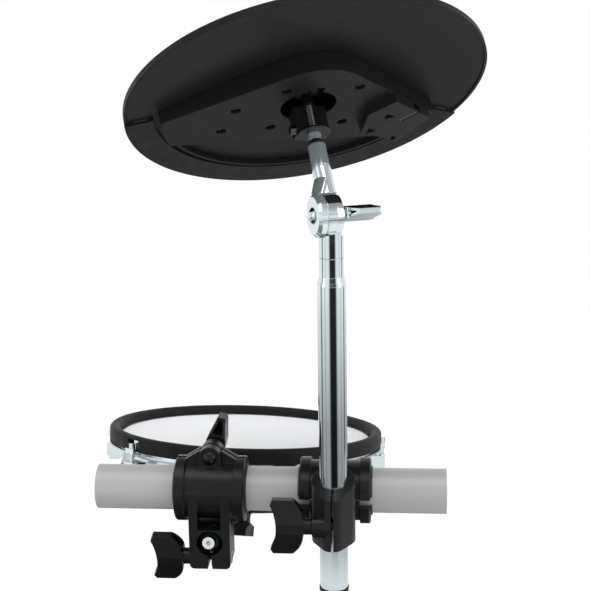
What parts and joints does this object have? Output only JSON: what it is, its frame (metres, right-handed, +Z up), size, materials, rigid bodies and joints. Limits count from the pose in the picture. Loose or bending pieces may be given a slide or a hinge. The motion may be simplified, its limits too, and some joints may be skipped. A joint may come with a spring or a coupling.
{
  "type": "electronic drum rack section",
  "caption": "Section of an electronic drum kit: a rack bar with hinged pipe clamps, a mesh-head tom pad on a ball arm and a rubber cymbal pad on a tilting tube.",
  "frame": {"origin": "left end of the rack bar, on the bar's axis", "axes": "+X along the bar, +Y level towards the player and the tom pad, +Z up the cymbal tube"},
  "size_m": [0.3668, 0.4524, 0.5067],
  "materials": {
    "bar_metal": "satin anodised",
    "black_plastic": "fine moulded texture",
    "liner_plastic": "smooth moulded nylon",
    "chrome": "polished plating",
    "black_metal": "black plated",
    "steel": "zinc plated",
    "black_rubber": "matt moulded rubber",
    "white_mesh": "woven mesh",
    "black_felt": "pressed felt",
    "grey_foam": "open foam",
    "sensor_brass": "bare disc",
    "sensor_film": "printed film",
    "jack_plastic": "moulded socket"
  },
  "bodies": {
    "rack": {"rack_bar": "bar_metal"},
    "tom_liner": {"tom_clamp_liner": "liner_plastic"},
    "tom_clamp": {"tom_clamp_body": "black_plastic", "tom_clamp_jaw": "black_plastic", "tom_clamp_hinge_pin": "steel", "tom_clamp_bolt": "black_metal", "tom_pinch_nut": "steel"},
    "tom_clamp_nut": {"tom_clamp_wing_nut": "black_plastic"},
    "tom_pinch": {"tom_pinch_screw": "black_plastic"},
    "ball": {"tom_ball": "black_plastic"},
    "rod": {"tom_rod": "chrome"},
    "tom": {"tom_bracket": "black_plastic", "bracket_screws": "steel", "tom_bottom_cover": "black_plastic", "cover_screws": "steel", "tom_shell": "chrome", "mesh_head": "white_mesh", "flesh_ring": "steel", "tom_hoop": "chrome", "hoop_rubber": "black_rubber", "tom_lugs": "chrome", "hoop_claws": "chrome", "tension_screws": "chrome", "sensor_bridge": "black_plastic", "tom_piezo": "sensor_brass", "foam_cone": "grey_foam", "tom_jack": "jack_plastic"},
    "bracket_pinch": {"bracket_wing_screw": "black_plastic"},
    "cymbal_liner": {"cymbal_clamp_liner": "liner_plastic"},
    "cymbal_clamp": {"cymbal_clamp_body": "black_plastic", "cymbal_clamp_jaw": "black_plastic", "cymbal_clamp_hinge_pin": "steel", "cymbal_clamp_bolt": "black_metal", "barrel_nut": "steel"},
    "cymbal_clamp_nut": {"cymbal_clamp_wing_nut": "black_plastic"},
    "barrel_pinch": {"barrel_wing_screw": "black_plastic"},
    "tube": {"cymbal_tube": "chrome", "tube_end_cap": "black_plastic"},
    "tilter": {"tilter_base": "chrome", "tilter_bolt": "chrome"},
    "tilter_nut": {"tilter_wing_nut": "chrome"},
    "arm": {"tilter_arm": "chrome", "spindle": "chrome", "seat_nut": "black_plastic", "lock_nut": "chrome", "stopper_plate": "black_metal", "rotation_stopper": "black_plastic", "stopper_screw": "chrome", "spindle_sleeve": "black_plastic", "lower_felt": "black_felt", "upper_felt": "black_felt"},
    "cymbal": {"cymbal_core": "black_plastic", "cymbal_skin": "black_rubber", "edge_sensor": "sensor_film", "trigger_housing": "black_plastic", "housing_screws": "steel", "cymbal_jack": "jack_plastic", "cymbal_piezo": "sensor_brass"},
    "top_nut": {"cymbal_top_nut": "black_plastic"}
  },
  "joints": [
    {"name": "tom_slide", "type": "slide", "parent": "rack", "child": "tom_liner", "axis": [1, 0, 0], "range_m": [-0.055, 0.006]},
    {"name": "tom_turn", "type": "hinge", "parent": "tom_liner", "child": "tom_clamp", "pos_m": [0.099, 0, 0], "axis": [1, 0, 0], "range_deg": [-20, 20]},
    {"name": "tom_nut_spin", "type": "hinge", "parent": "tom_clamp", "child": "tom_clamp_nut", "pos_m": [0.099, 0.0115, 0.0305], "axis": [0, 1, 0], "continuous": true},
    {"name": "tom_pinch_spin", "type": "hinge", "parent": "tom_clamp", "child": "tom_pinch", "pos_m": [0.099, -0.01255, -0.058], "axis": [-1, 0, 0], "continuous": true},
    {"name": "ball_tilt", "type": "hinge", "parent": "tom_clamp", "child": "ball", "pos_m": [0.099, -0.01255, -0.041], "axis": [1, 0, 0], "range_deg": [-8, 2]},
    {"name": "rod_slide", "type": "slide", "parent": "ball", "child": "rod", "axis": [0, 0.9863, -0.165], "range_m": [0, 0.012]},
    {"name": "tom_roll", "type": "hinge", "parent": "rod", "child": "tom", "pos_m": [0.099, -0.01255, -0.041], "axis": [0, 0.9863, -0.165], "range_deg": [-10, 10]},
    {"name": "bracket_pinch_spin", "type": "hinge", "parent": "tom", "child": "bracket_pinch", "pos_m": [0.099, 0.03647, -0.0492], "axis": [0.9994, -0.0058, -0.0344], "continuous": true},
    {"name": "cymbal_slide", "type": "slide", "parent": "rack", "child": "cymbal_liner", "axis": [1, 0, 0], "range_m": [-0.02, 0.06]},
    {"name": "cymbal_turn", "type": "hinge", "parent": "cymbal_liner", "child": "cymbal_clamp", "pos_m": [0.206, 0, 0], "axis": [1, 0, 0], "range_deg": [-15, 15]},
    {"name": "cymbal_nut_spin", "type": "hinge", "parent": "cymbal_clamp", "child": "cymbal_clamp_nut", "pos_m": [0.206, 0.0305, -0.0115], "axis": [0, 0, -1], "continuous": true},
    {"name": "barrel_pinch_spin", "type": "hinge", "parent": "cymbal_clamp", "child": "barrel_pinch", "pos_m": [0.206, -0.0585, -0.0088], "axis": [-1, 0, 0], "continuous": true},
    {"name": "tube_slide", "type": "slide", "parent": "cymbal_clamp", "child": "tube", "axis": [0, 0, 1], "range_m": [-0.1, 0.03]},
    {"name": "tilter_swivel", "type": "hinge", "parent": "tube", "child": "tilter", "pos_m": [0.206, -0.041, 0.211], "axis": [0, 0, 1], "continuous": true},
    {"name": "tilter_tilt", "type": "hinge", "parent": "tilter", "child": "arm", "pos_m": [0.206, -0.041, 0.245], "axis": [0.9205, 0.3907, 0], "range_deg": [-30, 60]},
    {"name": "tilter_nut_spin", "type": "hinge", "parent": "tilter", "child": "tilter_nut", "pos_m": [0.206, -0.041, 0.245], "axis": [0.9205, 0.3907, 0], "continuous": true},
    {"name": "cymbal_rock", "type": "hinge", "parent": "arm", "child": "cymbal", "pos_m": [0.18002, 0.02021, 0.34937], "axis": [0.9205, 0.3907, 0], "range_deg": [-5, 5], "stiffness_Nm_per_rad": 60},
    {"name": "top_nut_spin", "type": "hinge", "parent": "arm", "child": "top_nut", "pos_m": [0.1785, 0.02379, 0.35548], "axis": [-0.2099, 0.4946, 0.8434], "continuous": true}
  ]
}
